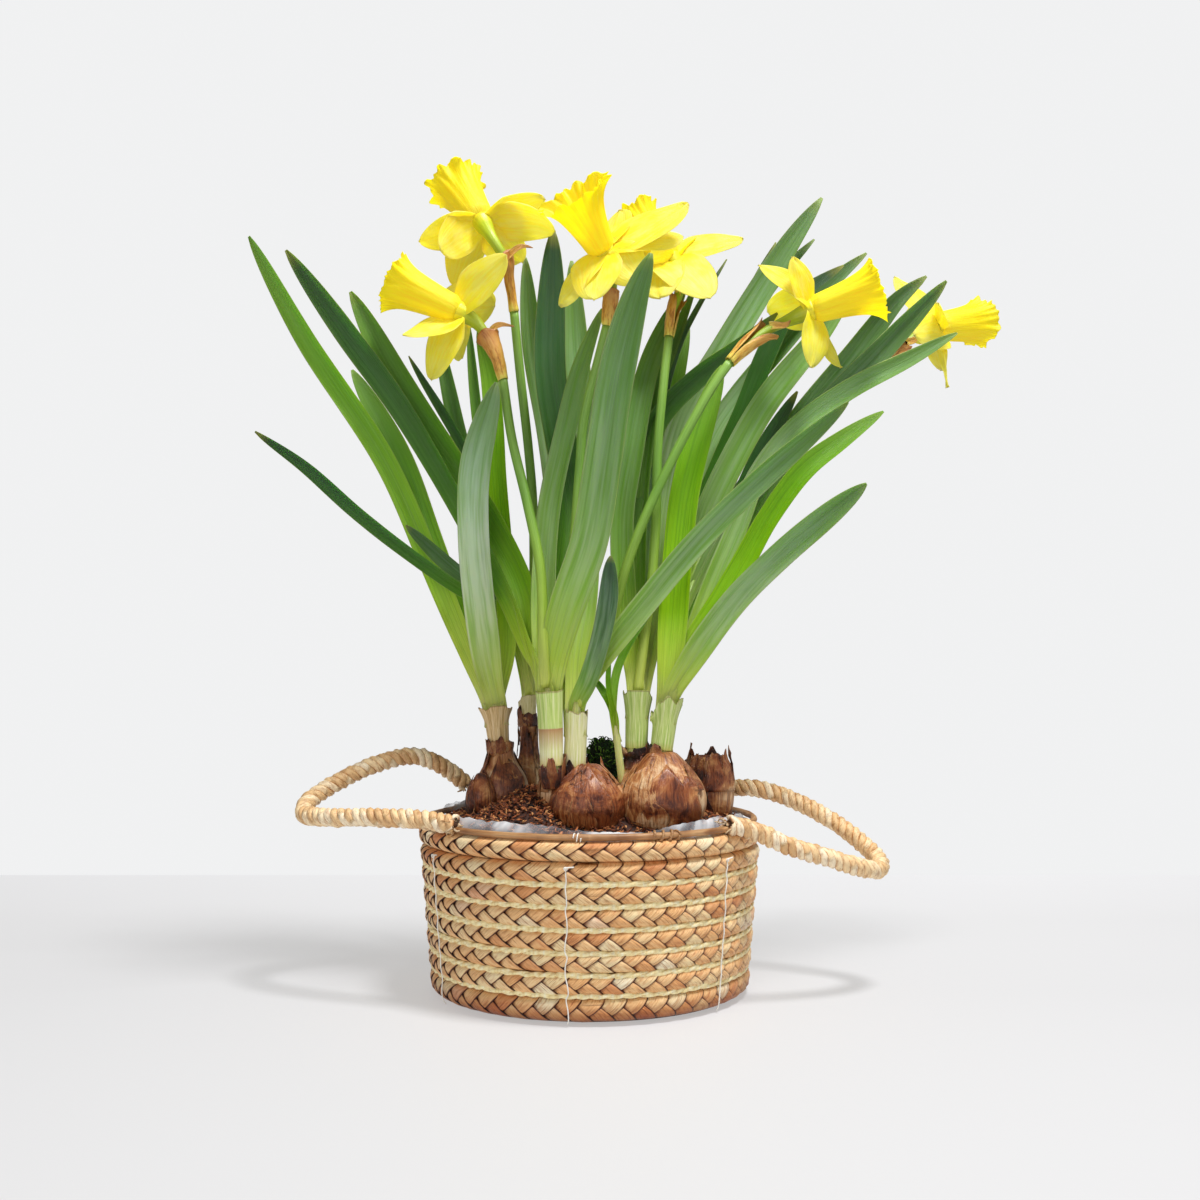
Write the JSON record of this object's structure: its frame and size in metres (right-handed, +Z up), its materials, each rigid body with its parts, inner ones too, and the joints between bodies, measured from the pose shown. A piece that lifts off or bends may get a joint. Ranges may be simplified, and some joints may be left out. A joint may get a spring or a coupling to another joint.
{
  "type": "potted daffodil",
  "caption": "Round plaited basket with wrapped rope loop handles, film lined and filled with soil, holding daffodil bulbs with strap leaves and yellow trumpet flowers.",
  "frame": {"origin": "centre of the basket's flat underside, on the surface it stands on", "axes": "+Z up along the basket's axis, -Y towards the front seen in the picture, +X to its right"},
  "size_m": [0.5129, 0.223, 0.546],
  "materials": {
    "plait": "dry plaited water-hyacinth leaf, matt with a slight sheen",
    "raffia": "pale yellow twisted raffia",
    "cane": "thin smoothed cane, grey-brown",
    "thread": "off-white cotton thread",
    "rope": "pale straw wrapped round a cord",
    "film": "clear thin film, creased",
    "bulb_skin": "dry papery brown tunic",
    "moss": "dark green moss",
    "soil": "dark crumbly potting soil",
    "leaf": "waxy green strap leaf",
    "sheath": "pale papery sheath",
    "petal": "soft lemon yellow petal",
    "trumpet": "soft golden yellow trumpet",
    "spathe": "dry orange-brown papery husk"
  },
  "bodies": {
    "root": {"basket_wall": "plait", "basket_base": "plait", "raffia_cord_1": "raffia", "raffia_cord_2": "raffia", "raffia_cord_3": "raffia", "raffia_cord_4": "raffia", "raffia_cord_5": "raffia", "raffia_cord_6": "raffia", "rim_hoop": "cane", "stitch_1": "thread", "stitch_2": "thread", "stitch_3": "thread", "stitch_4": "thread", "stitch_5": "thread", "stitch_6": "thread", "handle_left": "rope", "handle_right": "rope", "liner": "film", "bulb_1": "bulb_skin", "bulb_2": "bulb_skin", "bulb_3": "bulb_skin", "bulb_4": "bulb_skin", "bulb_5": "bulb_skin", "moss_tuft": "moss", "soil": "soil", "shoot_1": "leaf", "shoot_2": "leaf", "shoot_3": "leaf", "shoot_4": "leaf", "shoot_5": "leaf", "shoot_6": "leaf", "shoot_7": "leaf", "sheath_1": "sheath", "sheath_2": "sheath", "sheath_3": "sheath", "sheath_4": "sheath", "sheath_6": "sheath", "sheath_7": "sheath", "perianth_1": "petal", "corona_1": "trumpet", "spathe_1": "spathe", "perianth_2": "petal", "corona_2": "trumpet", "spathe_2": "spathe", "perianth_3": "petal", "corona_3": "trumpet", "spathe_3": "spathe", "perianth_4": "petal", "corona_4": "trumpet", "spathe_4": "spathe", "perianth_5": "petal", "corona_5": "trumpet", "spathe_5": "spathe", "perianth_6": "petal", "corona_6": "trumpet", "spathe_6": "spathe"}
  },
  "joints": []
}
